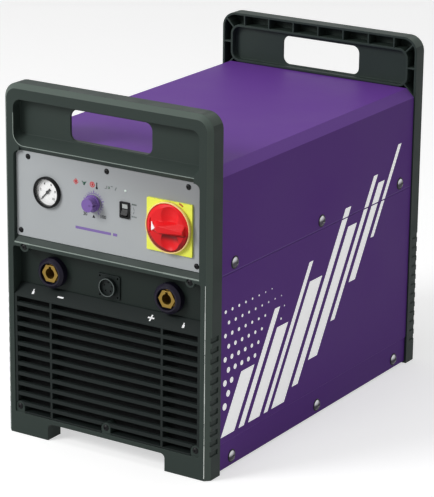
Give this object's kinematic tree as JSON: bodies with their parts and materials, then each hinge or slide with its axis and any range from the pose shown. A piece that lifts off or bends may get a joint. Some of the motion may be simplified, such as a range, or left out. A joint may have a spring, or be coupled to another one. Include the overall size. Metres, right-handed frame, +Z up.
{
  "type": "plasma cutter power unit",
  "caption": "Portable plasma cutter power unit: folded steel case between two moulded end frames with handles, front controls, output sockets, louvred grilles and a fan.",
  "frame": {"origin": "on the floor, at the middle of the overall box", "axes": "+Z up, the front panel faces -Y, +X is the viewer's right when facing the front"},
  "size_m": [0.3032, 0.5333, 0.45],
  "materials": {
    "frame_plastic": "matt",
    "dark_plastic": "matt",
    "black_plastic": "satin",
    "filter_foam": "matt",
    "panel_silver": "satin",
    "case_purple": "satin",
    "zinc_steel": "plated",
    "screw_black": "black oxide",
    "isolator_yellow": "gloss",
    "isolator_red": "gloss",
    "marker_white": "matt",
    "knob_purple": "satin",
    "clear": "clear",
    "light_lens": "gloss",
    "brass": "plain",
    "aluminium": "extruded",
    "circuit_board": "satin",
    "component_sleeve": "satin",
    "ferrite": "matt",
    "winding": "varnished",
    "hose_blue": "satin",
    "cable_rubber": "matt"
  },
  "bodies": {
    "unit": {"front_frame": "frame_plastic", "rear_frame": "frame_plastic", "front_grille": "dark_plastic", "rear_grille": "dark_plastic", "intake_filter": "filter_foam", "socket_panel": "dark_plastic", "rear_connection_plate": "dark_plastic", "control_panel": "panel_silver", "rear_blank_plate": "dark_plastic", "top_cover": "case_purple", "left_side_panel": "case_purple", "right_side_panel": "case_purple", "base_tray": "zinc_steel", "front_bulkhead": "zinc_steel", "rear_bulkhead": "zinc_steel", "isolator_plate": "isolator_yellow", "isolator_body": "black_plastic", "gauge_case": "black_plastic", "gauge_dial": "marker_white", "gauge_lens": "clear", "current_control": "black_plastic", "mode_switch_body": "black_plastic", "status_lights": "light_lens", "socket_collars": "black_plastic", "socket_contacts": "brass", "remote_socket": "dark_plastic", "remote_contacts": "brass", "panel_screws": "screw_black", "front_frame_screws": "screw_black", "rear_frame_screws": "screw_black", "cover_screws": "zinc_steel", "side_panel_screws": "zinc_steel", "fan_housing": "black_plastic", "heatsinks": "aluminium", "power_board": "circuit_board", "capacitors": "component_sleeve", "switching_modules": "black_plastic", "transformer_core": "ferrite", "transformer_coil": "winding", "output_choke": "winding", "rectifier_module": "black_plastic", "control_board": "circuit_board", "solenoid_valve": "brass", "air_regulator": "aluminium", "filter_bowl": "clear", "air_inlet": "brass", "air_hoses": "hose_blue", "gauge_tube": "hose_blue", "mains_gland": "black_plastic", "output_leads": "cable_rubber", "mains_lead_tails": "cable_rubber"},
    "isolator_switch": {"isolator_handle": "isolator_red", "isolator_marker": "marker_white", "isolator_shaft": "zinc_steel"},
    "current_dial": {"current_knob": "knob_purple"},
    "mode_lever": {"mode_rocker": "black_plastic"},
    "needle": {"gauge_needle": "screw_black"},
    "fan": {"fan_rotor": "black_plastic"},
    "pressure_dial": {"regulator_knob": "black_plastic"}
  },
  "joints": [
    {"name": "isolator_turn", "type": "hinge", "parent": "unit", "child": "isolator_switch", "pos_m": [0.091, -0.2535, 0.308], "axis": [0, 1, 0], "range_deg": [0, 90]},
    {"name": "current_knob_turn", "type": "hinge", "parent": "unit", "child": "current_dial", "pos_m": [-0.019, -0.2535, 0.3185], "axis": [0, -1, 0], "range_deg": [-60, 240]},
    {"name": "mode_rocker_tilt", "type": "hinge", "parent": "unit", "child": "mode_lever", "pos_m": [0.0265, -0.2463, 0.3175], "axis": [1, 0, 0], "range_deg": [0, 22]},
    {"name": "gauge_needle_swing", "type": "hinge", "parent": "unit", "child": "needle", "pos_m": [-0.087, -0.2485, 0.3205], "axis": [0, 1, 0], "range_deg": [0, 270]},
    {"name": "fan_spin", "type": "hinge", "parent": "unit", "child": "fan", "pos_m": [0, 0.2205, 0.106], "axis": [0, 1, 0], "continuous": true},
    {"name": "regulator_knob_turn", "type": "hinge", "parent": "unit", "child": "pressure_dial", "pos_m": [0.02, 0.2505, 0.214], "axis": [0, 1, 0], "range_deg": [-360, 360]}
  ]
}
